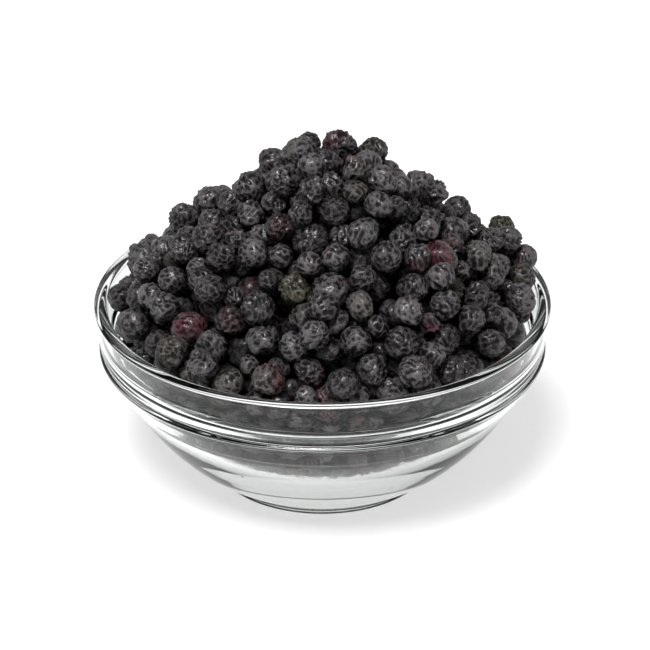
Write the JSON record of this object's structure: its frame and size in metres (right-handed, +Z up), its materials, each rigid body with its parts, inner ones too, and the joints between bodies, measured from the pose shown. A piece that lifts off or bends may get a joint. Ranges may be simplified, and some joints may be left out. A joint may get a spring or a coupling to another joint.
{
  "type": "bowl of dried elderberries",
  "caption": "Small clear pressed-glass bowl with a stacking shoulder, heaped above its rim with dried wrinkled black elderberries.",
  "frame": {"origin": "middle of the bowl's foot, on the surface that it stands on", "axes": "+Z up through the middle of the bowl; the bowl is round, and -Y is the side seen in the picture"},
  "size_m": [0.06, 0.06, 0.0469],
  "materials": {
    "clear_glass": "clear pressed glass, fire polished, with a faint grey-green tint where it is thick",
    "dried_berry_skin": "dry wrinkled berry skin, ink black with a dull sheen, a few berries wine red or olive brown"
  },
  "bodies": {
    "root": {"glass_bowl": "clear_glass", "berry_heap": "dried_berry_skin"}
  },
  "joints": []
}
